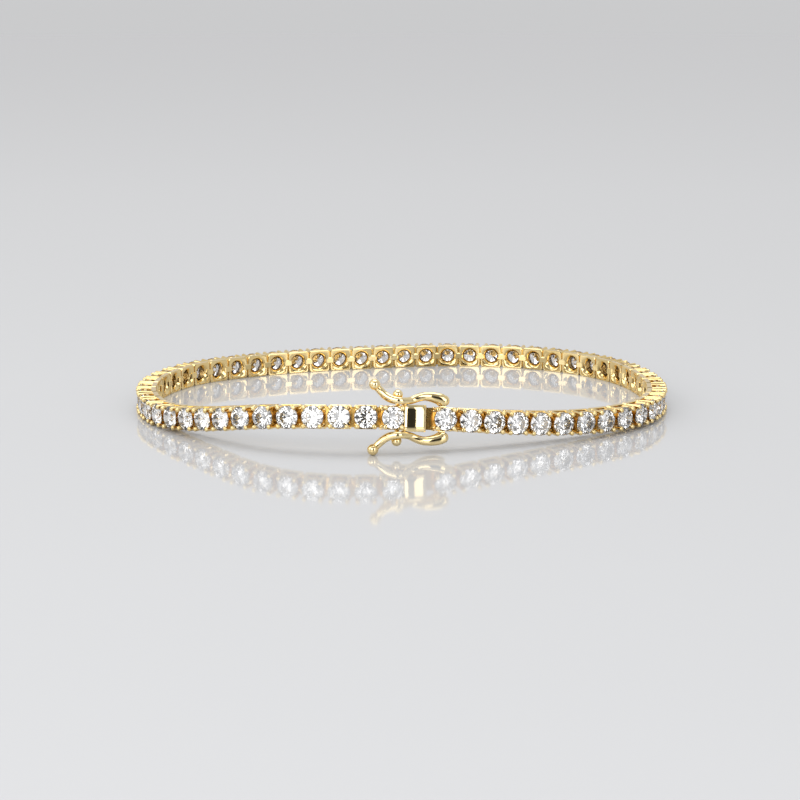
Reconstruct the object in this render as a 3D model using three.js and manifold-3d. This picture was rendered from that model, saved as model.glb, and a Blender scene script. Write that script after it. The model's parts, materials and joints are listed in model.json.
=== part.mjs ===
// Tennis bracelet, lying on a surface: a closed strip of four-claw box links, each with a round brilliant.
// A box clasp with two figure-eight safety catches fastens it, and the lower catch props the clasp up.
import * as THREE from "three";
import { mergeVertices } from "three/addons/utils/BufferGeometryUtils.js";
import Module from "manifold-3d";

const wasm = await Module();
wasm.setup();

// Driving dimensions, in mm.
// A link's own frame has its origin on its hinge line: X along the strip, Y out through the stone, Z across.
const linkCount = 60; // with the two end settings of the clasp
const linkGap = 0.32; // between neighbouring frames
const stoneDiameter = 2.55;
const stoneHeight = 1.5; // culet to table
const crownHeight = 0.36;
const tableShare = 0.56; // of the stone's diameter
const stoneFront = 1.98; // hinge line to table
const frameWidth = 2.5; // along the strip
const frameHeight = 2.7; // across the strip
const frameThickness = 0.6; // through the strip
const frameHoleDiameter = 1.7;
const clawWidth = 0.5;
const clawLength = 2.06; // hinge line to tip
const clawGrip = 0.06; // how far a claw reaches over its stone's edge
const clawTipShare = 0.8; // of the claw's width
const knuckleHeight = 0.86;

const jointClearance = 0.12;
const eyeRadius = 0.48;
const eyeHeight = 0.6;
const hingePinRadius = 0.17;
const lugThickness = 0.3;
const lugDepth = 0.5;

const claspSpan = 6.0; // between the centres of the two end settings
const boxHeight = 2.8;
const boxDepth = 2.15;
const boxWall = 0.34;
const boxBevel = 0.16;
const mouthOffset = 0.9; // clasp centre to the box's mouth
const mouthGap = 0.15;
const shoulderHeight = 2.5;
const shoulderDepth = 0.75;
const tongueThickness = 0.27;
const tongueWidth = 1.7;
const tongueClearance = 0.13;
const sidePlateThickness = 0.26;
const sidePlateDepth = 0.9;

const catchMid = 0.9; // hinge line to the catches' middle plane
const wireRadius = 0.38;
const ballRadius = 0.64;
const beadRadius = 0.58;
const beadOffset = 2.42; // clasp centre to the beads
const beadHeight = 2.6; // strip's middle to a bead's centre
const studRadius = 0.26;
const catchClearance = 0.12;
const bossRadius = 0.6;
const bossLength = 0.6;
const catchHingeOffset = 2.7; // clasp centre to the catches' hinges
const catchPinRadius = 0.26;
const catchHingeRise = 0.67; // the clasp's top to the hinge
const catchLength = 7.79; // hinge to ball, along the strip
const ballRise = 2.23; // the clasp's top to the ball's centre
const catchSpread = 0.86; // middle plane to a strand's centre at the hinge
const tubeWall = 0.16;

const claspLean = 12; // degrees by which the clasp's front is tipped up

// Facets and steps.
const stoneSides = 8;
const holeSides = 6;
const pinSides = 8;
const turnedSides = 12;
const ballSides = 10;
const ballRings = 7;
const wireSides = 6;
const wireSteps = 18;
const routeDivisions = 2000;
const liftPasses = 6;

// The way round that the hinge line takes, from the clasp's centre, clockwise from above.
// lift and lean are shares of the clasp's own.
const route = [
  { x: 1.9, y: -24.4, lift: 1, lean: 1 },
  { x: -6.6, y: -25.1, lift: 1.12, lean: 1 },
  { x: -14.7, y: -22.9, lift: 0.95, lean: 0.5 },
  { x: -21.5, y: -18.0, lift: 0.41, lean: 0.1 },
  { x: -27.0, y: -11.6, lift: 0.03, lean: 0 },
  { x: -29.5, y: -3.5, lift: 0, lean: 0 },
  { x: -28.9, y: 4.9, lift: 0, lean: 0 },
  { x: -25.0, y: 12.3, lift: 0, lean: 0 },
  { x: -18.2, y: 17.2, lift: 0, lean: 0 },
  { x: -10.4, y: 20.5, lift: 0, lean: 0 },
  { x: -2.2, y: 22.6, lift: 0, lean: 0 },
  { x: 6.1, y: 23.9, lift: 0, lean: 0 },
  { x: 14.5, y: 22.8, lift: 0, lean: 0 },
  { x: 21.9, y: 18.9, lift: 0, lean: 0 },
  { x: 27.2, y: 12.4, lift: 0, lean: 0 },
  { x: 29.7, y: 4.3, lift: 0, lean: 0 },
  { x: 29.8, y: -4.1, lift: 0, lean: 0 },
  { x: 26.9, y: -12.0, lift: 0.1, lean: 0 },
  { x: 20.5, y: -17.5, lift: 0.22, lean: 0.1 },
  { x: 12.8, y: -21.0, lift: 0.49, lean: 0.45 },
];

const linkPitch = frameWidth + linkGap;
const stoneRadius = stoneDiameter / 2;
const clawX = (frameWidth - clawWidth) / 2;
const clawZ = (frameHeight - clawWidth) / 2;
const frameBack = -frameThickness / 2;
const frameFront = frameThickness / 2;
const overlap = 0.05; // how far joined solids sink into each other
const cutReach = 1; // how far a cut runs past what it cuts
const weldDistance = 1e-4;

// Solids

function solidOf(geometry) {
  const bare = geometry.index ? geometry.toNonIndexed() : geometry.clone();
  bare.deleteAttribute("normal");
  bare.deleteAttribute("uv");
  const merged = mergeVertices(bare, weldDistance);
  return new wasm.Manifold(
    new wasm.Mesh({
      numProp: 3,
      vertProperties: new Float32Array(merged.attributes.position.array),
      triVerts: new Uint32Array(merged.index.array),
    }),
  );
}

function geometryOf(solid) {
  const mesh = solid.getMesh();
  const geometry = new THREE.BufferGeometry();
  geometry.setAttribute("position", new THREE.BufferAttribute(new Float32Array(mesh.vertProperties), 3));
  geometry.setIndex(new THREE.BufferAttribute(new Uint32Array(mesh.triVerts), 1));
  return geometry;
}

function joined(geometries) {
  const solids = geometries.map(solidOf);
  return geometryOf(solids.slice(1).reduce((whole, next) => whole.add(next), solids[0]));
}

function cut(geometry, cutters) {
  return geometryOf(cutters.map(solidOf).reduce((whole, next) => whole.subtract(next), solidOf(geometry)));
}

function ordered(a, b) {
  return [Math.min(a, b), Math.max(a, b)];
}

function block(x, y, z) {
  const geometry = new THREE.BoxGeometry(x[1] - x[0], y[1] - y[0], z[1] - z[0]);
  return geometry.translate((x[0] + x[1]) / 2, (y[0] + y[1]) / 2, (z[0] + z[1]) / 2);
}

function post(radius, z, sides, at) {
  const geometry = new THREE.CylinderGeometry(radius, radius, z[1] - z[0], sides);
  return geometry.rotateX(Math.PI / 2).translate(at.x, at.y, (z[0] + z[1]) / 2);
}

function rod(radius, y, sides, at) {
  const geometry = new THREE.CylinderGeometry(radius, radius, y[1] - y[0], sides);
  return geometry.translate(at.x, (y[0] + y[1]) / 2, at.z);
}

function ball(radius, at) {
  const geometry = new THREE.SphereGeometry(radius, ballSides, ballRings);
  return geometry.rotateX(Math.PI / 2).translate(at.x, at.y, at.z);
}

function mirroredZ(geometry) {
  const mirrored = geometry.toNonIndexed().scale(1, 1, -1);
  const position = mirrored.attributes.position;
  for (let i = 0; i < position.count; i += 3) {
    const a = new THREE.Vector3().fromBufferAttribute(position, i + 1);
    const b = new THREE.Vector3().fromBufferAttribute(position, i + 2);
    position.setXYZ(i + 1, b.x, b.y, b.z);
    position.setXYZ(i + 2, a.x, a.y, a.z);
  }
  return mirrored;
}

// Link

// A table, eight crown facets and eight pavilion facets, turned so that a flat faces each claw.
function brilliant() {
  const profile = [
    new THREE.Vector2(0, stoneFront - stoneHeight),
    new THREE.Vector2(stoneRadius, stoneFront - crownHeight),
    new THREE.Vector2(stoneRadius * tableShare, stoneFront),
    new THREE.Vector2(0, stoneFront),
  ];
  return new THREE.LatheGeometry(profile, stoneSides).rotateY(Math.PI / stoneSides);
}

// How far a claw's tip leans in, so that its inner corner grips the stone's edge, whatever the two measure.
function clawLean(bottom) {
  const girdleShare = (stoneFront - crownHeight - bottom) / (clawLength - bottom);
  const widthThere = clawWidth * (1 - girdleShare * (1 - clawTipShare));
  const innerCorner = Math.hypot(clawX, clawZ) - widthThere / Math.SQRT2;
  const stoneEdge = stoneRadius * Math.cos(Math.PI / stoneSides);
  return (innerCorner - stoneEdge + clawGrip) / girdleShare;
}

// A post on the frame's corner, that narrows and leans in towards the stone.
function claw(sideX, sideZ) {
  const bottom = frameFront - overlap;
  const lean = clawLean(bottom) / Math.hypot(clawX, clawZ);
  const geometry = new THREE.BoxGeometry(clawWidth, clawLength - bottom, clawWidth);
  const position = geometry.attributes.position;
  for (let i = 0; i < position.count; i += 1) {
    if (position.getY(i) > 0) {
      position.setX(i, position.getX(i) * clawTipShare - sideX * clawX * lean);
      position.setZ(i, position.getZ(i) * clawTipShare - sideZ * clawZ * lean);
    }
  }
  return geometry.translate(sideX * clawX, (clawLength + bottom) / 2, sideZ * clawZ);
}

function claws() {
  return [-1, 1].flatMap((sideX) => [-1, 1].map((sideZ) => claw(sideX, sideZ)));
}

function setting() {
  const frame = block(
    [-frameWidth / 2, frameWidth / 2],
    [frameBack, frameFront],
    [-frameHeight / 2, frameHeight / 2],
  );
  const holeReach = [frameBack - cutReach, frameFront + cutReach];
  const hole = rod(frameHoleDiameter / 2, holeReach, holeSides, { x: 0, z: 0 });
  return joined([cut(frame, [hole]), ...claws(), brilliant()]);
}

function knuckle() {
  return block(
    [frameWidth / 2 - overlap, linkPitch - frameWidth / 2 + overlap],
    [frameBack + overlap, frameFront - overlap],
    [-knuckleHeight / 2, knuckleHeight / 2],
  );
}

// Hinge between two nodes: an eye on one link's leading side, in a fork with a pin on the next one.

const hingeX = linkPitch / 2;
const lugInner = eyeHeight / 2 + jointClearance;
const lugOuter = lugInner + lugThickness;
const lugReach = hingePinRadius + overlap;

function withEye(geometry) {
  const lugSpace = [-1, 1].map((side) =>
    block(
      [hingeX - lugReach - jointClearance, frameWidth],
      [-lugDepth / 2 - jointClearance, frameThickness],
      ordered(side * (eyeHeight / 2), side * (lugOuter + jointClearance)),
    ),
  );
  const centre = { x: hingeX, y: 0 };
  const eye = post(eyeRadius, [-eyeHeight / 2, eyeHeight / 2], turnedSides, centre);
  const bore = post(hingePinRadius + jointClearance, [-eyeHeight, eyeHeight], turnedSides, centre);
  return cut(joined([cut(geometry, lugSpace), eye]), [bore]);
}

function withFork(geometry) {
  const eyeSpace = block(
    [-frameWidth, -hingeX + eyeRadius + jointClearance],
    [-frameThickness, frameThickness],
    [-lugInner, lugInner],
  );
  const lugs = [-1, 1].map((side) =>
    block(
      [-hingeX - lugReach, -frameWidth / 2 + overlap * 2],
      [-lugDepth / 2, lugDepth / 2],
      ordered(side * lugInner, side * lugOuter),
    ),
  );
  const pin = post(hingePinRadius, [-lugInner - overlap, lugInner + overlap], pinSides, { x: -hingeX, y: 0 });
  return joined([cut(geometry, [eyeSpace]), ...lugs, pin]);
}

// Route

// Each link, and the clasp as a whole, spans a straight stretch between two hinges that lie on the route.
function makeRoute(claspLift) {
  const ring = (toPoint) => new THREE.CatmullRomCurve3(route.map(toPoint), true, "catmullrom", 0.5);
  const loopLength = (linkCount - 1) * linkPitch + claspSpan;
  const drawn = ring((p) => new THREE.Vector3(p.x, p.y, p.lift * claspLift));
  const spread = loopLength / drawn.getLength();
  const line = ring((p) => new THREE.Vector3(p.x * spread, p.y * spread, p.lift * claspLift));
  line.arcLengthDivisions = routeDivisions;
  const leans = ring((p) => new THREE.Vector3(p.lean, 0, 0));
  const shareOf = (distance) => (((distance / loopLength) % 1) + 1) % 1;
  const hingeAt = (distance) => {
    const at = line.getPointAt(shareOf(distance));
    return at.setZ(Math.max(at.z, 0) + frameHeight / 2);
  };
  return (distance, span) => {
    const from = hingeAt(distance - span / 2);
    const to = hingeAt(distance + span / 2);
    const along = to.clone().sub(from).normalize();
    const leanShare = leans.getPoint(line.getUtoTmapping(shareOf(distance))).x;
    const level = new THREE.Vector3(0, 0, 1).cross(along).normalize();
    const out = level.applyAxisAngle(along, THREE.MathUtils.degToRad(leanShare * claspLean));
    const across = along.clone().cross(out);
    return new THREE.Matrix4().makeBasis(along, out, across).setPosition(from.add(to).multiplyScalar(0.5));
  };
}

// Catches, in the clasp's frame: X towards the box's end setting, Y out, Z across.

const claspTop = Math.max(boxHeight, frameHeight) / 2;

const hingeToBead = catchHingeOffset + beadOffset;
const beadToBall = catchLength - hingeToBead;

// The wire's centre line. Along is a share of the way from the hinge to the bead, and past 1 of the way on
// to the ball. Apart is a share of the spread at the hinge, and rise of the ball's height over the clasp.
function wireRow(along, apart, rise) {
  return {
    along: Math.min(along, 1) * hingeToBead + Math.max(along - 1, 0) * beadToBall - catchHingeOffset,
    apart: apart * catchSpread,
    up: claspTop + rise * ballRise,
  };
}

const besideBead = beadRadius + catchClearance + wireRadius;
const wireRows = [
  wireRow(0, 1, catchHingeRise / ballRise),
  wireRow(0.078, 1, 0.39),
  wireRow(0.244, 0.884, 0.471),
  wireRow(0.41, 0.674, 0.48),
  wireRow(0.566, 0.512, 0.377),
  wireRow(0.703, 0.581, 0.256),
  wireRow(0.84, 0.953, 0.224),
  wireRow(1, besideBead / catchSpread, 0.224),
  wireRow(1.255, 1, 0.287),
  wireRow(1.517, 0.5, 0.448),
  wireRow(1.742, 0.186, 0.686),
  wireRow(2, 0.023, 1),
];
const catchHinge = wireRows[0];
const catchBall = wireRows[wireRows.length - 1];

function strandOfWire(side) {
  const centreLine = new THREE.CatmullRomCurve3(
    wireRows.map((row) => new THREE.Vector3(row.along, catchMid + side * row.apart, row.up)),
  );
  const section = new THREE.Shape();
  for (let i = 0; i < wireSides; i += 1) {
    const angle = (2 * Math.PI * (i + 0.5)) / wireSides;
    section[i ? "lineTo" : "moveTo"](wireRadius * Math.cos(angle), wireRadius * Math.sin(angle));
  }
  const settings = { steps: wireSteps, bevelEnabled: false, extrudePath: centreLine };
  return new THREE.ExtrudeGeometry(section, settings);
}

function upperCatch() {
  const hinge = { x: catchHinge.along, z: catchHinge.up };
  const pieces = [-1, 1].flatMap((side) => {
    const centre = catchMid + side * catchHinge.apart;
    const boss = rod(bossRadius, [centre - bossLength / 2, centre + bossLength / 2], turnedSides, hinge);
    return [strandOfWire(side), boss];
  });
  const pinReach = [catchMid - catchHinge.apart, catchMid + catchHinge.apart];
  const tip = { x: catchBall.along, y: catchMid, z: catchBall.up };
  return joined([...pieces, rod(catchPinRadius, pinReach, turnedSides, hinge), ball(ballRadius, tip)]);
}

// Clasp halves, in the clasp's frame

const plateY = [catchMid - sidePlateDepth / 2, catchMid + sidePlateDepth / 2];
const plateZ = [frameHeight / 2 - sidePlateThickness, frameHeight / 2];
const settingEdge = claspSpan / 2 - frameWidth / 2; // clasp centre to the near side of an end setting

function sidePlate(centreX) {
  return block([centreX - clawX, centreX + clawX], plateY, plateZ);
}

function stud() {
  const at = { x: beadOffset, y: catchMid };
  const shank = post(studRadius, [plateZ[0], beadHeight], pinSides, at);
  return joined([shank, ball(beadRadius, { ...at, z: beadHeight })]);
}

function boxShell() {
  const back = frameBack;
  const front = back + boxDepth;
  const half = boxHeight / 2;
  const outline = new THREE.Shape([
    new THREE.Vector2(back + boxBevel, -half),
    new THREE.Vector2(front - boxBevel, -half),
    new THREE.Vector2(front, -half + boxBevel),
    new THREE.Vector2(front, half - boxBevel),
    new THREE.Vector2(front - boxBevel, half),
    new THREE.Vector2(back + boxBevel, half),
    new THREE.Vector2(back, half - boxBevel),
    new THREE.Vector2(back, -half + boxBevel),
  ]);
  const length = mouthOffset + settingEdge + overlap;
  const body = new THREE.ExtrudeGeometry(outline, { depth: length, bevelEnabled: false });
  // The outline is drawn in Y and Z and drawn out along X.
  body.applyMatrix4(
    new THREE.Matrix4().makeBasis(
      new THREE.Vector3(0, 1, 0),
      new THREE.Vector3(0, 0, 1),
      new THREE.Vector3(1, 0, 0),
    ),
  );
  body.translate(-mouthOffset, 0, 0);
  const pocket = block(
    [-mouthOffset - cutReach, settingEdge - boxWall],
    [back + boxWall, front - boxWall],
    [-half + boxWall, half - boxWall],
  );
  return cut(body, [pocket]);
}

function claspBox() {
  const endSetting = withEye(setting()).translate(claspSpan / 2, 0, 0);
  const upperStud = joined([sidePlate(claspSpan / 2), stud()]);
  return joined([boxShell(), endSetting, upperStud, mirroredZ(upperStud)]);
}

function tongueLeaf() {
  const near = frameBack + boxWall + tongueClearance;
  const far = frameBack + boxDepth - boxWall - tongueClearance;
  const end = settingEdge - boxWall - tongueClearance;
  const start = -settingEdge - overlap;
  const fold = tongueThickness * 2;
  const side = new THREE.Shape([
    new THREE.Vector2(start, near),
    new THREE.Vector2(end - fold, near),
    new THREE.Vector2(end, near + fold),
    new THREE.Vector2(end - fold / 2, near + fold + tongueThickness),
    new THREE.Vector2(-mouthOffset + fold, far),
    new THREE.Vector2(-mouthOffset + fold, far - tongueThickness),
    new THREE.Vector2(end - fold, near + fold),
    new THREE.Vector2(end - fold, near + tongueThickness),
    new THREE.Vector2(start, near + tongueThickness),
  ]);
  const leaf = new THREE.ExtrudeGeometry(side, { depth: tongueWidth, bevelEnabled: false });
  return leaf.translate(0, 0, -tongueWidth / 2);
}

function hingeTube() {
  const bore = catchPinRadius + catchClearance;
  const half = catchHinge.apart - bossLength / 2 - catchClearance;
  const reach = [catchMid - half, catchMid + half];
  const at = { x: catchHinge.along, z: catchHinge.up };
  const barrel = rod(bore + tubeWall, reach, turnedSides, at);
  const foot = block([at.x - bore, at.x + bore], reach, [plateZ[0], at.z]);
  const boreReach = [reach[0] - cutReach, reach[1] + cutReach];
  return cut(joined([barrel, foot]), [rod(bore, boreReach, turnedSides, at)]);
}

function claspTongue() {
  const endSetting = withFork(setting()).translate(-claspSpan / 2, 0, 0);
  const shoulder = block(
    [-settingEdge - overlap, -mouthOffset - mouthGap],
    [frameBack, frameBack + shoulderDepth],
    [-shoulderHeight / 2, shoulderHeight / 2],
  );
  const upperHinge = joined([sidePlate(-claspSpan / 2), hingeTube()]);
  return joined([shoulder, tongueLeaf(), endSetting, upperHinge, mirroredZ(upperHinge)]);
}

// Strip

function strand(frameAt, first, last) {
  const plain = setting();
  const pieces = [];
  for (let i = first; i <= last; i += 1) {
    let link = plain;
    if (i === first) link = withFork(link);
    link = i === last ? withEye(link) : joined([link, knuckle()]);
    pieces.push(link.clone().applyMatrix4(frameAt(claspSpan / 2 + i * linkPitch, linkPitch)));
  }
  return joined(pieces);
}

function claspFrame(frameAt) {
  return frameAt(0, claspSpan + linkPitch);
}

// The clasp is lifted until the lower catch's ball just meets the surface.
function propLift() {
  let lift = catchBall.up;
  for (let pass = 0; pass < liftPasses; pass += 1) {
    const lowBall = new THREE.Vector3(catchBall.along, catchMid, -catchBall.up);
    lowBall.applyMatrix4(claspFrame(makeRoute(lift)));
    lift -= lowBall.z - ballRadius;
  }
  return lift;
}

// Assembly

const yellowGold = new THREE.MeshStandardMaterial({ color: 0xe2b65a, roughness: 0.18, metalness: 1 });
const linkFinish = new THREE.MeshStandardMaterial({ color: 0xe9d9b0, roughness: 0.15, metalness: 0.7 });

function piece(name, geometry, material) {
  const mesh = new THREE.Mesh(geometry, material);
  mesh.name = name;
  return mesh;
}

const frameAt = makeRoute(propLift());
const halfway = linkCount / 2;

const clasp = new THREE.Group();
clasp.applyMatrix4(claspFrame(frameAt));
const catchGeometry = upperCatch();
clasp.add(
  piece("clasp_box", claspBox(), yellowGold),
  piece("clasp_tongue", claspTongue(), yellowGold),
  piece("upper_catch", catchGeometry, yellowGold),
  piece("lower_catch", mirroredZ(catchGeometry), yellowGold),
);

const bracelet = new THREE.Group();
bracelet.add(
  clasp,
  piece("strand_left", strand(frameAt, 1, halfway - 1), linkFinish),
  piece("strand_right", strand(frameAt, halfway, linkCount - 2), linkFinish),
);

// The part's origin is at the bottom of its box, in the middle.
bracelet.updateMatrixWorld(true);
const bounds = new THREE.Box3().setFromObject(bracelet, true);
const centre = bounds.getCenter(new THREE.Vector3());
const part = new THREE.Group();
bracelet.position.set(-centre.x, -centre.y, -bounds.min.z);
part.add(bracelet);

export default part;
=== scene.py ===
"""The tennis bracelet's looks: gold links with brilliants, a box clasp and two figure-eight catches.

Lengths are in millimetres until a form is made into an object. Each form is drawn in its own link's or
the clasp's frame: X along the strip, Y out through the stone, Z across the strip, and the origin on the
hinge line.
"""

import json
import math

import bpy
import numpy as np
from mathutils import Matrix, Vector


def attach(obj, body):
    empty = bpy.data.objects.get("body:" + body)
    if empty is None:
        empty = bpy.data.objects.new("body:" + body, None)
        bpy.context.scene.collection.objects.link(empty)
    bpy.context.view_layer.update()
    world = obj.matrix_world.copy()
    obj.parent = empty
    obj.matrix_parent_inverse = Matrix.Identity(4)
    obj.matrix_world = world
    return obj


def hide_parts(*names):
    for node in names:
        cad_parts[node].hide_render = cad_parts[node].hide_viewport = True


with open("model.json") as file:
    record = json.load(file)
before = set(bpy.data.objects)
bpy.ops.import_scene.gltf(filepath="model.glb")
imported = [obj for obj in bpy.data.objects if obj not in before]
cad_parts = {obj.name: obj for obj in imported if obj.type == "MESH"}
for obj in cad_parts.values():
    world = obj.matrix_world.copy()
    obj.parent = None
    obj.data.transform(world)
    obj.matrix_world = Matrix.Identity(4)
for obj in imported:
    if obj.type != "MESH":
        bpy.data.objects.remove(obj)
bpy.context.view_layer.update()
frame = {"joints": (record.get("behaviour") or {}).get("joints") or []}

MM = 0.001

# Sizes shared with the solids

LINK_COUNT = 60
LINK_PITCH = 2.82
CLASP_SPAN = 6.0
CLASP_LEAN = 12.0
FRAME_WIDTH = 2.5
FRAME_HEIGHT = 2.7
FRAME_FRONT = 0.3
FRAME_BACK = -0.3
STONE_HEIGHT = 1.5
STONE_FRONT = 1.98
CROWN_HEIGHT = 0.36
CATCH_MID = 0.9
CATCH_SPREAD = 0.86
CATCH_PIN_RADIUS = 0.26
BALL_RADIUS = 0.64
BALL_ALONG = 5.09
BALL_HEIGHT = 3.63
BEAD_RADIUS = 0.58
BEAD_OFFSET = 2.42
BEAD_HEIGHT = 2.6
BOX_DEPTH = 2.15
BOX_WALL = 0.34
MOUTH_OFFSET = 0.9
HINGE_OFFSET = 2.7
HINGE_HEIGHT = 2.07
HINGE_TUBE_REACH = 0.4

# As seen in the photo, where that is a little off the solids' sizes

FRAME_VIEWED_WIDTH = 2.6
STONE_VIEWED_DIAMETER = 2.66
BOX_VIEWED_HEIGHT = 3.04
MOUTH_VIEWED_OFFSET = 0.72

# The hinge line, clockwise from the clasp's centre: x, y, and shares of the clasp's lift and lean
ROUTE = [
    (1.9, -24.4, 1.0, 1.0),
    (-6.6, -25.1, 1.12, 1.0),
    (-14.7, -22.9, 0.95, 0.5),
    (-21.5, -18.0, 0.41, 0.1),
    (-27.0, -11.6, 0.03, 0.0),
    (-29.5, -3.5, 0.0, 0.0),
    (-28.9, 4.9, 0.0, 0.0),
    (-25.0, 12.3, 0.0, 0.0),
    (-18.2, 17.2, 0.0, 0.0),
    (-10.4, 20.5, 0.0, 0.0),
    (-2.2, 22.6, 0.0, 0.0),
    (6.1, 23.9, 0.0, 0.0),
    (14.5, 22.8, 0.0, 0.0),
    (21.9, 18.9, 0.0, 0.0),
    (27.2, 12.4, 0.0, 0.0),
    (29.7, 4.3, 0.0, 0.0),
    (29.8, -4.1, 0.0, 0.0),
    (26.9, -12.0, 0.1, 0.0),
    (20.5, -17.5, 0.22, 0.1),
    (12.8, -21.0, 0.49, 0.45),
]
ROUTE_SAMPLES = 4000
LIFT_ROUNDS = 6


# Curves and the way round

def closed_curve(points, divisions):
    """Points on the smooth closed curve through the given ones; each column is followed alike."""
    count = len(points)
    places = np.linspace(0, count, divisions + 1)
    start = np.floor(places).astype(int)
    t = (places - start)[:, None]
    before, here, ahead, beyond = (points[(start + k) % count] for k in (-1, 0, 1, 2))
    return between(t, before, here, ahead, beyond)


def between(t, before, here, ahead, beyond):
    """The smooth curve's point at share t of the way from here to ahead."""
    leave = (ahead - before) / 2
    arrive = (beyond - here) / 2
    return (
        here
        + t * leave
        + t**2 * (3 * (ahead - here) - 2 * leave - arrive)
        + t**3 * (2 * (here - ahead) + leave + arrive)
    )


def lengths_along(points):
    steps = np.linalg.norm(np.diff(points, axis=0), axis=1)
    return np.concatenate([[0], np.cumsum(steps)])


class WayRound:
    """The hinge line, on which each link spans a straight stretch between two hinges."""

    def __init__(self, clasp_lift):
        self.length = (LINK_COUNT - 1) * LINK_PITCH + CLASP_SPAN
        points = np.array(ROUTE)
        points[:, 2] *= clasp_lift
        drawn = lengths_along(closed_curve(points, ROUTE_SAMPLES)[:, :3])[-1]
        points[:, :2] *= self.length / drawn
        self.samples = closed_curve(points, ROUTE_SAMPLES)
        along = lengths_along(self.samples[:, :3])
        self.distances = along * self.length / along[-1]

    def at(self, distance):
        place = distance % self.length
        return np.array([np.interp(place, self.distances, column) for column in self.samples.T])

    def hinge(self, distance):
        x, y, z, _ = self.at(distance)
        return Vector((x, y, max(z, 0) + FRAME_HEIGHT / 2))

    def frame(self, distance, span):
        start = self.hinge(distance - span / 2)
        end = self.hinge(distance + span / 2)
        along = (end - start).normalized()
        lean = math.radians(self.at(distance)[3] * CLASP_LEAN)
        out = Matrix.Rotation(lean, 3, along) @ Vector((0, 0, 1)).cross(along).normalized()
        across = along.cross(out)
        turned = Matrix((along, out, across)).transposed()
        return Matrix.Translation((start + end) / 2) @ turned.to_4x4()

    def clasp(self):
        return self.frame(0, CLASP_SPAN + LINK_PITCH)

    def link(self, index):
        return self.frame(CLASP_SPAN / 2 + index * LINK_PITCH, LINK_PITCH)


def resting_way():
    """The way round with the lower catch's ball just on the surface."""
    lift = BALL_HEIGHT
    for _ in range(LIFT_ROUNDS):
        low_ball = WayRound(lift).clasp() @ Vector((BALL_ALONG, CATCH_MID, -BALL_HEIGHT))
        lift -= low_ball.z - BALL_RADIUS
    return WayRound(lift)


way = resting_way()


def to_row():
    """Moves the drawing's frame to the part's, by the upper catch's hinge, which both know."""
    hinge = way.clasp() @ Vector((-HINGE_OFFSET, CATCH_MID, HINGE_HEIGHT))
    stated = next(j for j in frame["joints"] if j["name"] == "upper_catch_hinge")["pos_m"]
    return Matrix.Translation(Vector(stated) - hinge * MM) @ Matrix.Scale(MM, 4)


row = to_row()


# Forms

BALL_SIDES = 28
BAR_SIDES = 24
# Turns the rays of a bar's outline a hair, so that none runs along an axis
BAR_TURN = 1e-3
LEAST_CORNER = 0.01
NEARLY_NOTHING = 1e-9


class Form:
    """Points, and faces that name their corners by number."""

    def __init__(self):
        self.points = np.zeros((0, 3))
        self.faces = []

    def add(self, points, faces):
        shift = len(self.points)
        self.points = np.vstack([self.points, np.asarray(points, float)])
        self.faces += [[i + shift for i in face] for face in faces]
        return self

    def join(self, *forms):
        for form in forms:
            self.add(form.points, form.faces)
        return self

    def placed(self, matrix):
        m = np.array(matrix)
        made = Form()
        made.points = self.points @ m[:3, :3].T + m[:3, 3]
        flipped = np.linalg.det(m[:3, :3]) < 0
        made.faces = [face[::-1] if flipped else face for face in self.faces]
        return made

    def outward(self):
        """Turns a closed form's faces over where they face inwards."""
        volume = 0.0
        for face in self.faces:
            corners = self.points[face]
            for k in range(1, len(face) - 1):
                volume += np.dot(corners[0], np.cross(corners[k], corners[k + 1]))
        if volume < 0:
            self.faces = [face[::-1] for face in self.faces]
        return self


def angles_round(count, shift=0):
    """Evenly spaced angles all the way round, the first one shifted by a share of a step."""
    return 2 * np.pi * (np.arange(count) + shift) / count


def around(middle, reach):
    """From reach below the middle to reach above it."""
    return middle - reach, middle + reach


def mirrored(form):
    """The same form on the clasp's other side."""
    return form.placed(Matrix.Diagonal((1, 1, -1, 1)))


def loft(rings, ring_closed=False):
    """Quads between rings of equally many points. The ends are capped, or the last ring joins the first."""
    count = len(rings[0])
    total = len(rings)
    faces = []
    for r in range(total if ring_closed else total - 1):
        a, b = r * count, ((r + 1) % total) * count
        for i in range(count):
            j = (i + 1) % count
            faces.append([a + i, a + j, b + j, b + i])
    if not ring_closed:
        faces.append(list(range(count))[::-1])
        faces.append([(total - 1) * count + i for i in range(count)])
    return Form().add(np.vstack(rings), faces).outward()


def turned_round_y(profile, sides, centre=(0, 0, 0), closed=False):
    """A profile of (radius, y) turned round the Y axis."""
    angles = angles_round(sides)
    rings = [
        np.column_stack([radius * np.cos(angles), np.full(sides, y), radius * np.sin(angles)]) + centre
        for radius, y in profile
    ]
    return loft(rings, closed)


def turned_round_z(profile, sides, centre):
    """A profile of (radius, z) turned round the Z axis."""
    form = turned_round_y(profile, sides)
    form.points = form.points[:, [0, 2, 1]] + centre
    form.faces = [face[::-1] for face in form.faces]
    return form


def ball(radius, centre):
    turns = np.linspace(-0.5 * np.pi, 0.5 * np.pi, BALL_SIDES // 2 + 1)[1:-1]
    profile = [(radius * math.cos(a), radius * math.sin(a)) for a in turns]
    return turned_round_z(profile, BALL_SIDES, centre)


def smooth_path(rows, count):
    """An open smooth curve through rows, in evenly shared steps."""
    rows = np.array(rows, float)
    padded = np.vstack([2 * rows[0] - rows[1], rows, 2 * rows[-1] - rows[-2]])
    path = []
    for place in np.linspace(0, len(rows) - 1, count):
        i = min(int(place), len(rows) - 2)
        path.append(between(place - i, *padded[i : i + 4]))
    return np.array(path)


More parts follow.
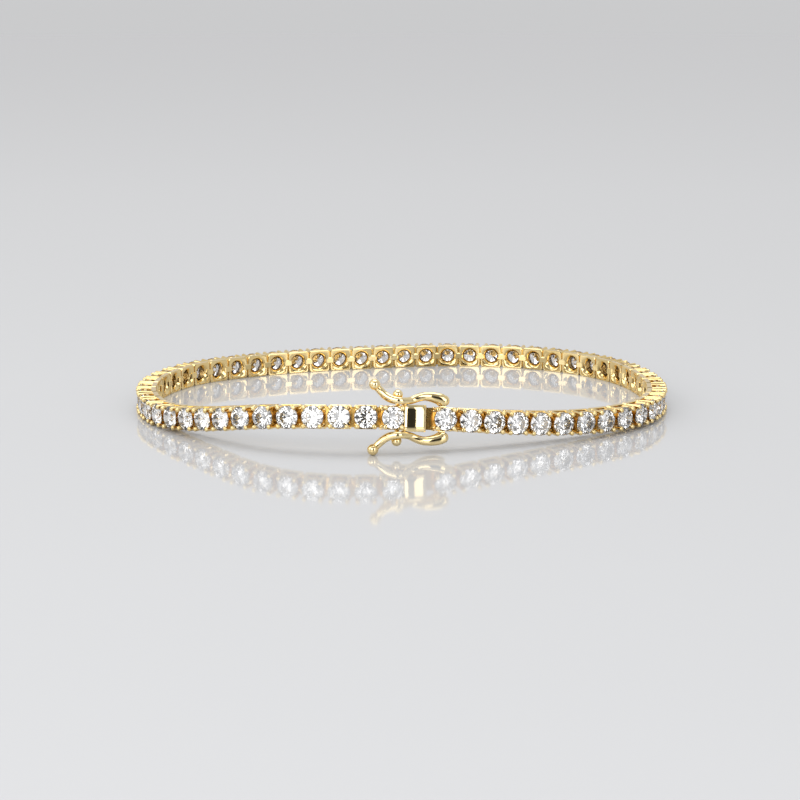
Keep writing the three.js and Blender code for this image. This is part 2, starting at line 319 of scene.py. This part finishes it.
def tube(centres, radii, sides, side_hint=(0, 1, 0)):
    """A round bar of changing radius along centres."""
    centres = np.asarray(centres, float)
    tangents = np.gradient(centres, axis=0)
    angles = angles_round(sides)
    rings = []
    for centre, tangent, radius in zip(centres, tangents, radii):
        tangent = tangent / np.linalg.norm(tangent)
        across = np.cross(tangent, side_hint)
        across /= np.linalg.norm(across)
        up = np.cross(across, tangent)
        rings.append(centre + radius * (np.outer(np.cos(angles), across) + np.outer(np.sin(angles), up)))
    return loft(rings)


def rounded_corner_ray(angle, half_x, half_z, corner):
    """Where a ray from the middle meets a rectangle with round corners."""
    c, s = abs(math.cos(angle)), abs(math.sin(angle))
    reach = min(half_x / max(c, NEARLY_NOTHING), half_z / max(s, NEARLY_NOTHING))
    x, z = reach * c, reach * s
    middle_x, middle_z = half_x - corner, half_z - corner
    if x > middle_x and z > middle_z:
        along = c * middle_x + s * middle_z
        reach = along + math.sqrt(along**2 - middle_x**2 - middle_z**2 + corner**2)
        x, z = reach * c, reach * s
    return math.copysign(x, math.cos(angle)), math.copysign(z, math.sin(angle))


def rounded_bar(x, y, z, corner, bevel):
    """A block drawn out along Y with round corners and softened rims."""
    angles = angles_round(BAR_SIDES) + BAR_TURN
    centre_x, centre_z = sum(x) / 2, sum(z) / 2
    half_x, half_z = (x[1] - x[0]) / 2, (z[1] - z[0]) / 2
    rings = []
    for inset, place in ((bevel, y[0]), (0, y[0] + bevel), (0, y[1] - bevel), (bevel, y[1])):
        round_off = max(corner - inset, LEAST_CORNER)
        outline = [rounded_corner_ray(a, half_x - inset, half_z - inset, round_off) for a in angles]
        rings.append(np.array([(centre_x + px, place, centre_z + pz) for px, pz in outline]))
    return loft(rings)


# Materials

CLOUD_SCALE = 260.0
CLOUD_DETAIL = 3.0
CLOUD_RAMP = (0.3, 0.72)
GRAIN_SCALE = 2600.0
GRAIN_DETAIL = 2.0
GRAIN_DEPTH = 0.00002
TINT_SCALE = 190.0
TINT_DETAIL = 1.0
TINT_RAMP = (0.35, 0.6)
TINTS = ((1.0, 0.985, 0.955), (1.0, 1.0, 1.0))
DIAMOND_IOR = 2.42
FLOOR_COLOUR = (0.585, 0.59, 0.6, 1)
FLOOR_ROUGHNESS = 0.06
FLOOR_IOR = 1.5


def new_material(name):
    material = bpy.data.materials.new(name)
    material.use_nodes = True
    nodes = material.node_tree.nodes
    return material, nodes, material.node_tree.links, nodes["Principled BSDF"]


def node(nodes, kind, **settings):
    made = nodes.new(kind)
    for key, value in settings.items():
        if key in made.inputs:
            made.inputs[key].default_value = value
        else:
            setattr(made, key, value)
    return made


def map_range(nodes, low, high, to_low, to_high, **settings):
    made = node(nodes, "ShaderNodeMapRange", **settings)
    for key, value in (("From Min", low), ("From Max", high), ("To Min", to_low), ("To Max", to_high)):
        made.inputs[key].default_value = value
    return made


def cloudy_tone(nodes, links, place, scale, detail, ramp, tones):
    """A colour that drifts between two tones from place to place."""
    cloud = node(nodes, "ShaderNodeTexNoise", Scale=scale, Detail=detail)
    links.new(place, cloud.inputs["Vector"])
    tone = node(nodes, "ShaderNodeValToRGB")
    for element, position, colour in zip(tone.color_ramp.elements, ramp, tones):
        element.position = position
        element.color = (*colour, 1)
    links.new(cloud.outputs["Fac"], tone.inputs["Fac"])
    return tone.outputs["Color"]


def gold(name, colour, shade, roughness, grain, bump):
    """Gold with faint cloudy changes of tone, fine polishing marks and small dents in the gloss."""
    material, nodes, links, shader = new_material(name)
    shader.inputs["Metallic"].default_value = 1.0
    place = node(nodes, "ShaderNodeTexCoord").outputs["Object"]
    tone = cloudy_tone(nodes, links, place, CLOUD_SCALE, CLOUD_DETAIL, CLOUD_RAMP, (shade, colour))
    links.new(tone, shader.inputs["Base Color"])
    fine = node(nodes, "ShaderNodeTexNoise", Scale=GRAIN_SCALE, Detail=GRAIN_DETAIL)
    links.new(place, fine.inputs["Vector"])
    gloss = map_range(nodes, 0, 1, roughness, roughness + grain)
    links.new(fine.outputs["Fac"], gloss.inputs["Value"])
    links.new(gloss.outputs["Result"], shader.inputs["Roughness"])
    relief = node(nodes, "ShaderNodeBump", Strength=bump, Distance=GRAIN_DEPTH)
    links.new(fine.outputs["Fac"], relief.inputs["Height"])
    links.new(relief.outputs["Normal"], shader.inputs["Normal"])
    return material


def diamond():
    """Clear, with the faintest changes of tint from stone to stone."""
    material, nodes, links, shader = new_material("diamond")
    place = node(nodes, "ShaderNodeTexCoord").outputs["Object"]
    tint = cloudy_tone(nodes, links, place, TINT_SCALE, TINT_DETAIL, TINT_RAMP, TINTS)
    links.new(tint, shader.inputs["Base Color"])
    shader.inputs["Roughness"].default_value = 0.0
    shader.inputs["IOR"].default_value = DIAMOND_IOR
    shader.inputs["Transmission Weight"].default_value = 1.0
    return material


def floor_material():
    material, _, _, shader = new_material("pale_floor")
    shader.inputs["Base Color"].default_value = FLOOR_COLOUR
    shader.inputs["Roughness"].default_value = FLOOR_ROUGHNESS
    shader.inputs["IOR"].default_value = FLOOR_IOR
    return material


# A gold: name, colour, shade, least roughness, what the grain adds to it, strength of the relief
POLISHED = gold("polished_gold", (0.98, 0.8, 0.45), (0.92, 0.72, 0.35), 0.04, 0.06, 0.1)
CAST = gold("link_gold", (0.95, 0.76, 0.4), (0.85, 0.63, 0.27), 0.05, 0.09, 0.2)
# The rough gold of the cups, webs, tongue shoulder and leaf: its roughness is the metal's own, while its
# darker brown colour is painted shade for the hollows between and behind the stones.
PAINTED_SHADE_GOLD = gold("rough_gold_with_painted_shade", (0.74, 0.48, 0.15), (0.5, 0.3, 0.08), 0.2, 0.16, 0.35)
DIAMOND = diamond()
SMOOTH_UNDER = 38


def make(name, parts, node_replaced, body="bracelet", place=row):
    """Forms with their materials become one object in the part's frame, that rides on its body."""
    form = Form().join(*[part for part, _ in parts])
    mesh = bpy.data.meshes.new(name)
    mesh.from_pydata(form.placed(place).points.tolist(), [], form.faces)
    mesh.shade_smooth()
    mesh.set_sharp_from_angle(angle=math.radians(SMOOTH_UNDER))
    which, smooth = [], []
    for index, (part, material) in enumerate(parts):
        mesh.materials.append(material)
        which += [index] * len(part.faces)
        smooth += [material is not DIAMOND] * len(part.faces)
    mesh.polygons.foreach_set("material_index", which)
    mesh.polygons.foreach_set("use_smooth", smooth)
    mesh.update()
    obj = bpy.data.objects.new(name, mesh)
    bpy.context.scene.collection.objects.link(obj)
    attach(obj, body)
    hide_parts(node_replaced)


# A link

# The dished hole through a link's frame, from the inside of the strip out: radius, y
HOLE_PROFILE = [
    (1.14, FRAME_BACK),
    (1.11, FRAME_BACK + 0.02),
    (0.76, 0.08),
    (0.74, 0.14),
    (0.74, FRAME_FRONT),
    (0.9, FRAME_FRONT + 0.03),
]
PLATE_SIDES = 48
PLATE_CORNER = 0.1
PLATE_BEVEL = 0.05

# A claw from its foot to its bead over the girdle: x, y, z, radius
CLAW_ROWS = [
    (0.96, 0.15, 1.1, 0.21),
    (0.98, 0.8, 1.12, 0.2),
    (0.99, 1.4, 1.13, 0.2),
    (0.97, 1.68, 1.1, 0.235),
    (0.95, 1.84, 1.07, 0.275),
    (0.94, 1.97, 1.06, 0.26),
    (0.93, 2.07, 1.05, 0.19),
    (0.93, 2.12, 1.05, 0.05),
]
CLAW_STEPS = 13
CLAW_SIDES = 12

# The cup's section, a closed loop: radius, y
CUP_SECTION = [
    (0.74, 0.28),
    (0.9, 0.28),
    (1.12, 0.9),
    (1.27, 1.42),
    (1.29, 1.53),
    (1.21, 1.54),
    (1.14, 1.46),
    (0.98, 0.95),
]
CUP_SIDES = 36

RAIL_REACH = 1.0
RAIL_Y = (0.82, 1.16)
RAIL_Z = (1.04, 1.25)
TAB_REACH = 0.55
TAB_Y = (-0.36, 0.24)
TAB_Z = (-0.42, 0.42)
WEB_REACH = 0.3
WEB_Y = (-0.1, 0.32)
WEB_Z = (-1.15, 1.15)


def link_plate():
    """The square frame at the inside of a link, dished towards a round hole under the stone's point."""
    angles = angles_round(PLATE_SIDES, 0.5)
    edge = [
        (PLATE_BEVEL, FRAME_FRONT),
        (0, FRAME_FRONT - PLATE_BEVEL),
        (0, FRAME_BACK + PLATE_BEVEL),
        (PLATE_BEVEL, FRAME_BACK),
    ]
    rings = []
    for radius, y in HOLE_PROFILE:
        rings.append(np.array([(radius * math.cos(a), y, radius * math.sin(a)) for a in angles]))
    for inset, y in edge:
        half_x, half_z = FRAME_VIEWED_WIDTH / 2 - inset, FRAME_HEIGHT / 2 - inset
        outline = [rounded_corner_ray(a, half_x, half_z, PLATE_CORNER) for a in angles]
        rings.append(np.array([(x, y, z) for x, z in outline]))
    return loft(rings, ring_closed=True)


def claw(side_x, side_z):
    """A round claw that leans out along its stone and ends in a bead over the girdle."""
    path = smooth_path(CLAW_ROWS, CLAW_STEPS)
    form = tube(path[:, :3], path[:, 3], CLAW_SIDES, side_hint=(1, 0, 0))
    return form.placed(Matrix.Diagonal((side_x, 1, side_z, 1)))


def cup():
    """The thin cup round the stone's point, up to the seat under its girdle."""
    return turned_round_y(CUP_SECTION, CUP_SIDES, closed=True)


def rail(side_z):
    """The straight rail that joins two claws at the strip's edge."""
    low, high = sorted(side_z * z for z in RAIL_Z)
    return rounded_bar(around(0, RAIL_REACH), RAIL_Y, (low, high), corner=0.06, bevel=0.05)


def tab():
    """The square tab on the inside that joins a link to the next."""
    return rounded_bar(around(LINK_PITCH / 2, TAB_REACH), TAB_Y, TAB_Z, corner=0.1, bevel=0.13)


def web():
    """The broad hinge leaf behind the tab, seen as the floor between two stones and darkened there with
    painted shade.
    """
    return rounded_bar(around(LINK_PITCH / 2, WEB_REACH), WEB_Y, WEB_Z, corner=0.1, bevel=0.05)


def link_outside(with_tab=True):
    """What is polished on a link: its frame, rails, claws and tab."""
    form = Form().join(link_plate(), rail(-1), rail(1))
    for side_x in (-1, 1):
        for side_z in (-1, 1):
            form.join(claw(side_x, side_z))
    if with_tab:
        form.join(tab())
    return form


def link_inside(with_web=True):
    """What the polishing wheel doesn't reach, left rough and darkened with painted shade: the cup under the
    stone and the web.
    """
    return Form().join(cup(), web()) if with_web else cup()


# A stone

TABLE_SHARE = 0.56
STAR_PULL = 0.985
LOWER_TIP_SHARE = 0.24
GIRDLE_HEIGHT = 0.05
STONE_TURN_STEP = 137.5
STONE_TURN_REPEAT = 45
STONE_TILT = 0.9
TILT_RATE = 2.1
LEAN_RATE = 3.3


def brilliant():
    """A round brilliant: table, 8 stars, 8 kites, 16 upper halves, girdle, 16 lower halves, 8 mains."""
    radius = STONE_VIEWED_DIAMETER / 2
    table = radius * TABLE_SHARE
    crown_foot = STONE_FRONT - CROWN_HEIGHT
    pavilion_top = crown_foot - GIRDLE_HEIGHT
    culet = STONE_FRONT - STONE_HEIGHT
    step = math.pi / 4

    def ring(r, y, turn=0.0, count=8):
        return [(r * math.cos(a), y, r * math.sin(a)) for a in turn + angles_round(count)]

    def on_main_plane(r, edge_y, tip_y, tip_r):
        share = (radius - r * math.cos(step / 2)) / (radius - tip_r)
        return edge_y + (tip_y - edge_y) * share

    star = (table + radius) / 2 * STAR_PULL
    low = radius * LOWER_TIP_SHARE
    points = (
        ring(table, STONE_FRONT)
        + ring(star, on_main_plane(star, crown_foot, STONE_FRONT, table), step / 2)
        + ring(radius, crown_foot, 0, 16)
        + ring(radius, pavilion_top, 0, 16)
        + ring(low, on_main_plane(low, pavilion_top, culet, 0), step / 2)
        + [(0, culet, 0)]
    )
    # Where each ring's points begin: table, stars, upper girdle, lower girdle, lower tips, culet
    t, s, g, h, lo, tip = 0, 8, 16, 32, 48, 56
    faces = [[t + k for k in range(8)]]
    for k in range(8):
        n = (k + 1) % 8
        p = (k - 1) % 8
        faces += [
            [t + k, s + k, t + n],
            [t + k, s + p, g + 2 * k, s + k],
            [s + k, g + 2 * k, g + 2 * k + 1],
            [s + k, g + 2 * k + 1, g + (2 * k + 2) % 16],
            [h + 2 * k, lo + k, h + 2 * k + 1],
            [h + 2 * k + 1, lo + k, h + (2 * k + 2) % 16],
            [h + 2 * k, lo + p, tip, lo + k],
        ]
    for k in range(16):
        faces.append([g + k, g + (k + 1) % 16, h + (k + 1) % 16, h + k])
    return Form().add(points, faces).outward()


def stone_in(matrix, index):
    """Each stone is set with its own turn and a hair of tilt."""
    turn = math.radians((index * STONE_TURN_STEP) % STONE_TURN_REPEAT)
    tilt = math.radians(STONE_TILT * math.sin(index * TILT_RATE))
    lean = math.radians(STONE_TILT * math.cos(index * LEAN_RATE))
    seat = Matrix.Translation((0, STONE_FRONT - CROWN_HEIGHT, 0))
    own = Matrix.Rotation(tilt, 4, "X") @ Matrix.Rotation(lean, 4, "Z") @ Matrix.Rotation(turn, 4, "Y")
    return brilliant().placed(matrix @ seat @ own @ seat.inverted())


def strand(name, first, last, cad_node):
    """The links from the first to the last, with their stones."""
    places = [way.link(index) for index in range(first, last + 1)]
    outside, inside = link_outside(), link_inside()
    parts = [
        (Form().join(*[outside.placed(place) for place in places]), CAST),
        (Form().join(*[inside.placed(place) for place in places]), PAINTED_SHADE_GOLD),
        (Form().join(*[stone_in(place, first + i) for i, place in enumerate(places)]), DIAMOND),
    ]
    make(name, parts, cad_node)


# The clasp

SETTING_EDGE = CLASP_SPAN / 2 - FRAME_WIDTH / 2
# How far the box and the tongue's parts run into the end settings
JOINT_OVERLAP = 0.05

SIDE_PLATE_REACH = 0.95
SIDE_PLATE_DEPTH = 0.45
SIDE_PLATE_Z = (1.1, 1.34)

# The shank under a bead: radius, z
SHANK_PROFILE = [
    (0.34, 1.25),
    (0.3, 1.36),
    (0.25, 1.5),
    (0.24, BEAD_HEIGHT - 0.4),
]
SHANK_SIDES = 24

BOX_SIDES = 40
BOX_CORNER = 0.26
BOX_CROWN = 0.2
# The share of the half depth beyond which a point belongs to the crowned front
CROWNED_FROM = 0.6
RIM_INSET = 0.09
# The softened rims: distance in from the mouth or from the far end, inset
MOUTH_RIM = [(0.04, 0.03), (0.1, 0)]
FAR_RIM = [(0.1, 0), (0.03, 0.03)]
MIDDLE_INSET = 0.3
MIDDLE_STEPS = 9
POCKET_CORNER = 0.1
POCKET_LIP = 0.06
LIP_BEVEL = 0.05
LIP_CORNER = 0.12

LEAF_THICKNESS = 0.27
LEAF_REACH = 0.85
# The middle of the leaf's thickness, on its way into the box, at its fold and on its way back: x, y
FOLD_CENTRE = (SETTING_EDGE - BOX_WALL - 0.58, 0.54)
LEAF_INWARDS = [(-SETTING_EDGE - JOINT_OVERLAP, 0.17), (0.2, 0.17), (FOLD_CENTRE[0], 0.22)]
LEAF_BACKWARDS = [(0.4, 1.02), (-MOUTH_OFFSET + 0.55, 1.38 - LEAF_THICKNESS / 2)]
FOLD_RADIUS = 0.3
FOLD_ANGLES = np.radians(np.linspace(-80, 80, 7))

TUBE_SIDES = 28
TUBE_CLEARANCE = 0.12
TUBE_OUTER_GAP = 0.28
TUBE_BEVEL = 0.04
FOOT_REACH = 0.34
FOOT_Z = (1.2, 1.5)

SHOULDER_REACH = 1.25
SHOULDER_GAP = 0.1
SHOULDER_STEPS = 13
# The shoulder's front at its start, and how it falls with the share of the way and with the share's square
SHOULDER_FRONT = (0.4, -0.04, -0.09)


def side_plate(centre_x):
    """The plate on an end setting's side that carries a bead or a hinge tube."""
    x, y = around(centre_x, SIDE_PLATE_REACH), around(CATCH_MID, SIDE_PLATE_DEPTH)
    return rounded_bar(x, y, SIDE_PLATE_Z, corner=0.1, bevel=0.05)


def stud():
    """A shank with its bead, over which a catch snaps."""
    shank = turned_round_z(SHANK_PROFILE, SHANK_SIDES, (BEAD_OFFSET, CATCH_MID, 0))
    return Form().join(shank, ball(BEAD_RADIUS, (BEAD_OFFSET, CATCH_MID, BEAD_HEIGHT)))


def box_shell():
    """The box, a little crowned across its front, with its pocket open at the mouth."""
    angles = angles_round(BOX_SIDES, 0.5)
    middle = FRAME_BACK + BOX_DEPTH / 2
    start, end = -MOUTH_VIEWED_OFFSET, SETTING_EDGE + JOINT_OVERLAP

    def section(x, inset, round_off, crown=0.0):
        half_y = BOX_DEPTH / 2 - inset
        half_z = BOX_VIEWED_HEIGHT / 2 - inset
        points = []
        for a in angles:
            y, z = rounded_corner_ray(a, half_y, half_z, round_off)
            points.append((x, middle + y + (crown if y > half_y * CROWNED_FROM else 0), z))
        return np.array(points)

    def crowned(x, inset):
        share = (x - (start + end) / 2) / ((end - start) / 2)
        return section(x, inset, BOX_CORNER, BOX_CROWN * (1 - share**2))

    rings = [
        section(SETTING_EDGE - BOX_WALL, BOX_WALL, POCKET_CORNER),
        section(start + POCKET_LIP, BOX_WALL, POCKET_CORNER),
        section(start, BOX_WALL - LIP_BEVEL, LIP_CORNER),
        section(start, RIM_INSET, BOX_CORNER),
    ]
    rings += [crowned(start + into, inset) for into, inset in MOUTH_RIM]
    rings += [crowned(x, 0) for x in np.linspace(start + MIDDLE_INSET, end - MIDDLE_INSET, MIDDLE_STEPS)]
    rings += [crowned(end - into, inset) for into, inset in FAR_RIM]
    rings.append(section(end, RIM_INSET, BOX_CORNER))
    return loft(rings)


def clasp_box():
    place = Matrix.Translation((CLASP_SPAN / 2, 0, 0))
    upper = Form().join(side_plate(CLASP_SPAN / 2), stud())
    return [
        (Form().join(box_shell(), link_outside().placed(place), upper, mirrored(upper)), POLISHED),
        (link_inside().placed(place), PAINTED_SHADE_GOLD),
        (stone_in(place, 0), DIAMOND),
    ]


def tongue_leaf():
    """The folded spring leaf that slides into the box."""
    fold = np.column_stack([np.cos(FOLD_ANGLES), np.sin(FOLD_ANGLES)]) * FOLD_RADIUS + FOLD_CENTRE
    path = np.vstack([LEAF_INWARDS, fold, LEAF_BACKWARDS])
    tangent = np.gradient(path, axis=0)
    tangent /= np.linalg.norm(tangent, axis=1)[:, None]
    side = np.column_stack([-tangent[:, 1], tangent[:, 0]]) * LEAF_THICKNESS / 2
    low, high = -LEAF_REACH, LEAF_REACH
    rings = []
    for (ax, ay), (bx, by) in zip(path - side, path + side):
        rings.append(np.array([(ax, ay, low), (bx, by, low), (bx, by, high), (ax, ay, high)]))
    return loft(rings)


def hinge_tube():
    """The tube of a catch's hinge on its foot."""
    bore, outer = CATCH_PIN_RADIUS + TUBE_CLEARANCE, CATCH_PIN_RADIUS + TUBE_OUTER_GAP
    low, high = around(CATCH_MID, HINGE_TUBE_REACH)
    section = [
        (bore, low),
        (outer - TUBE_BEVEL, low),
        (outer, low + TUBE_BEVEL),
        (outer, high - TUBE_BEVEL),
        (outer - TUBE_BEVEL, high),
        (bore, high),
    ]
    barrel = turned_round_y(section, TUBE_SIDES, (-HINGE_OFFSET, 0, HINGE_HEIGHT), closed=True)
    foot = rounded_bar(around(-HINGE_OFFSET, FOOT_REACH), (low, high), FOOT_Z, corner=0.06, bevel=0.03)
    return Form().join(barrel, foot)


def shoulder():
    """The tongue's neck between the end setting and the box, sloping down to the box's mouth."""
    start, end = -SETTING_EDGE - JOINT_OVERLAP, -MOUTH_VIEWED_OFFSET - SHOULDER_GAP
    low, high = -SHOULDER_REACH, SHOULDER_REACH
    rings = []
    for share in np.linspace(0, 1, SHOULDER_STEPS):
        x = start + share * (end - start)
        front = np.dot(SHOULDER_FRONT, (1, share, share**2))
        corners = [(FRAME_BACK, low), (front, low), (front, high), (FRAME_BACK, high)]
        rings.append(np.array([(x, y, z) for y, z in corners]))
    return loft(rings)


def clasp_tongue():
    place = Matrix.Translation((-CLASP_SPAN / 2, 0, 0))
    upper = Form().join(side_plate(-CLASP_SPAN / 2), hinge_tube())
    return [
        (Form().join(link_outside(False).placed(place), upper, mirrored(upper)), POLISHED),
        # The shoulder, the leaf and the end setting's cup take the gold darkened with painted shade for the
        # recess at the box's mouth.
        (Form().join(shoulder(), tongue_leaf(), link_inside(False).placed(place)), PAINTED_SHADE_GOLD),
        (stone_in(place, LINK_COUNT - 1), DIAMOND),
    ]


# The catches

# A catch's wire from hinge to ball: along, half the distance between its strands, height, radius
WIRE_ROWS = [
    (-2.7, 0.86, 2.07, 0.6),
    (-2.3, 0.86, 2.27, 0.6),
    (-1.45, 0.78, 2.46, 0.54),
    (-0.6, 0.6, 2.48, 0.47),
    (0.2, 0.46, 2.26, 0.42),
    (0.9, 0.5, 1.99, 0.4),
    (1.6, 0.82, 1.92, 0.39),
    (2.42, 1.08, 1.92, 0.39),
    (3.1, 0.86, 2.05, 0.39),
    (3.8, 0.45, 2.4, 0.4),
    (4.4, 0.16, 2.93, 0.41),
    (5.09, 0.02, 3.63, 0.42),
]
WIRE_STEPS = 64
WIRE_SIDES = 18
# The wire's thickness from front to back as a share of its height
WIRE_FLATNESS = 0.76
# The round end of a strand at the hinge, along X, Y and Z
WIRE_END_RADII = (0.63, 0.45, 0.63)
PIN_REACH = 0.8
PIN_SIDES = 20


def catch_wire():
    """A figure-eight catch: two strands that part round the bead, a ball and a cross wire."""
    form = Form()
    path = smooth_path(WIRE_ROWS, WIRE_STEPS)
    for side in (-1, 1):
        centres = np.column_stack([path[:, 0], CATCH_MID + side * path[:, 1], path[:, 2]])
        wire_strand = tube(centres, path[:, 3], WIRE_SIDES)
        middle_y = np.repeat(centres[:, 1], WIRE_SIDES)
        wire_strand.points[:, 1] = middle_y + WIRE_FLATNESS * (wire_strand.points[:, 1] - middle_y)
        end = ball(1, (0, 0, 0)).placed(Matrix.Diagonal((*WIRE_END_RADII, 1)))
        end_place = (-HINGE_OFFSET, CATCH_MID + side * CATCH_SPREAD, HINGE_HEIGHT)
        form.join(wire_strand, end.placed(Matrix.Translation(end_place)))
    pin = [(CATCH_PIN_RADIUS, y) for y in around(CATCH_MID, PIN_REACH)]
    form.join(turned_round_y(pin, PIN_SIDES, (-HINGE_OFFSET, 0, HINGE_HEIGHT)))
    return form.join(ball(BALL_RADIUS, (BALL_ALONG, CATCH_MID, BALL_HEIGHT)))


# The pieces

half = LINK_COUNT // 2
clasp_row = row @ way.clasp()
upper_wire = catch_wire()
lower_wire = mirrored(upper_wire)
strand("left_links_with_stones", 1, half - 1, "strand_left")
strand("right_links_with_stones", half, LINK_COUNT - 2, "strand_right")
make("box_with_stone", clasp_box(), "clasp_box", place=clasp_row)
make("tongue_with_stone", clasp_tongue(), "clasp_tongue", place=clasp_row)
make("upper_catch_wire", [(upper_wire, POLISHED)], "upper_catch", "upper_catch", clasp_row)
make("lower_catch_wire", [(lower_wire, POLISHED)], "lower_catch", "lower_catch", clasp_row)


# Floor, light and camera, in metres and degrees

FLOOR_REACH = 3.0

# A softbox: name, azimuth, elevation, width, height, distance, radiance
SOFTBOXES = [
    ("top_softbox", 180, 78, 0.44, 0.38, 0.5, 2.1),
    ("front_left_softbox", -21, 24, 0.3, 0.3, 0.45, 2.5),
    ("front_right_softbox", 38, 21, 0.2, 0.3, 0.45, 2.1),
    ("left_softbox", -75, 30, 0.3, 0.35, 0.45, 1.6),
]

TENT_COLOUR = (0.97, 0.97, 0.98, 1)
TENT_FRONT = 0.32
TENT_BACK = 0.72
# The Y of a direction at which the tent's front ends, and at which its back begins
TENT_FADE = (-0.9, 0.3)
# A dark opening in the tent: azimuth, the angles at which it ends and is full, and the light left in it
OPENINGS = [
    (11, 21, 11, 0.1),
    (56, 7, 4, 0.15),
]
OPENING_ELEVATION = 13

CAMERA_PLACE = (-0.00023, -0.32942, 0.071)
CAMERA_LOOKS_DOWN = 12.04
FOCAL_PIXELS = 2792
PICTURE_PIXELS = 800
SENSOR_WIDTH = 36


def add_floor():
    mesh = bpy.data.meshes.new("floor")
    low, high = -FLOOR_REACH, FLOOR_REACH
    mesh.from_pydata([(low, low, 0), (high, low, 0), (high, high, 0), (low, high, 0)], [], [[0, 1, 2, 3]])
    mesh.materials.append(floor_material())
    floor = bpy.data.objects.new("floor", mesh)
    bpy.context.scene.collection.objects.link(floor)


def direction_to(azimuth, elevation):
    """Azimuth 0 is the camera's side and grows to the viewer's right."""
    a, e = math.radians(azimuth), math.radians(elevation)
    return Vector((math.cos(e) * math.sin(a), -math.cos(e) * math.cos(a), math.sin(e)))


def add_softbox(name, azimuth, elevation, width, height, distance, radiance):
    """A soft light aimed at the bracelet."""
    place = direction_to(azimuth, elevation) * distance
    data = bpy.data.lights.new(name, "AREA")
    data.shape = "RECTANGLE"
    data.size, data.size_y = width, height
    data.energy = radiance * math.pi * width * height
    light = bpy.data.objects.new(name, data)
    light.location = place
    light.rotation_euler = (-place).to_track_quat("-Z", "Y").to_euler()
    bpy.context.scene.collection.objects.link(light)


def add_world():
    """A light tent: soft grey all round, brighter at the back, with two dark round openings in its front."""
    world = bpy.data.worlds.new("light_tent")
    world.use_nodes = True
    nodes, links = world.node_tree.nodes, world.node_tree.links
    background = nodes["Background"]
    background.inputs["Color"].default_value = TENT_COLOUR
    direction = node(nodes, "ShaderNodeTexCoord").outputs["Generated"]
    parts = node(nodes, "ShaderNodeSeparateXYZ")
    links.new(direction, parts.inputs["Vector"])
    tent = map_range(nodes, *TENT_FADE, TENT_FRONT, TENT_BACK, interpolation_type="SMOOTHSTEP")
    links.new(parts.outputs["Y"], tent.inputs["Value"])
    strength = tent.outputs["Result"]
    for azimuth, wide, narrow, left_over in OPENINGS:
        nearness = node(nodes, "ShaderNodeVectorMath", operation="DOT_PRODUCT")
        nearness.inputs[1].default_value = direction_to(azimuth, OPENING_ELEVATION)
        links.new(direction, nearness.inputs[0])
        outer, inner = math.cos(math.radians(wide)), math.cos(math.radians(narrow))
        opening = map_range(nodes, outer, inner, 1.0, left_over, interpolation_type="SMOOTHSTEP")
        links.new(nearness.outputs["Value"], opening.inputs["Value"])
        dimmed = node(nodes, "ShaderNodeMath", operation="MULTIPLY")
        links.new(strength, dimmed.inputs[0])
        links.new(opening.outputs["Result"], dimmed.inputs[1])
        strength = dimmed.outputs["Value"]
    links.new(strength, background.inputs["Strength"])
    bpy.context.scene.world = world


def add_camera():
    """The photograph's camera."""
    data = bpy.data.cameras.new("camera")
    data.sensor_width = SENSOR_WIDTH
    data.lens = FOCAL_PIXELS / PICTURE_PIXELS * SENSOR_WIDTH
    data.clip_start = 0.01
    camera = bpy.data.objects.new("camera", data)
    camera.location = CAMERA_PLACE
    camera.rotation_euler = (math.radians(90 - CAMERA_LOOKS_DOWN), 0, 0)
    bpy.context.scene.collection.objects.link(camera)
    bpy.context.scene.camera = camera


add_floor()
for box in SOFTBOXES:
    add_softbox(*box)
add_world()
add_camera()
bpy.context.scene.view_settings.view_transform = "Standard"
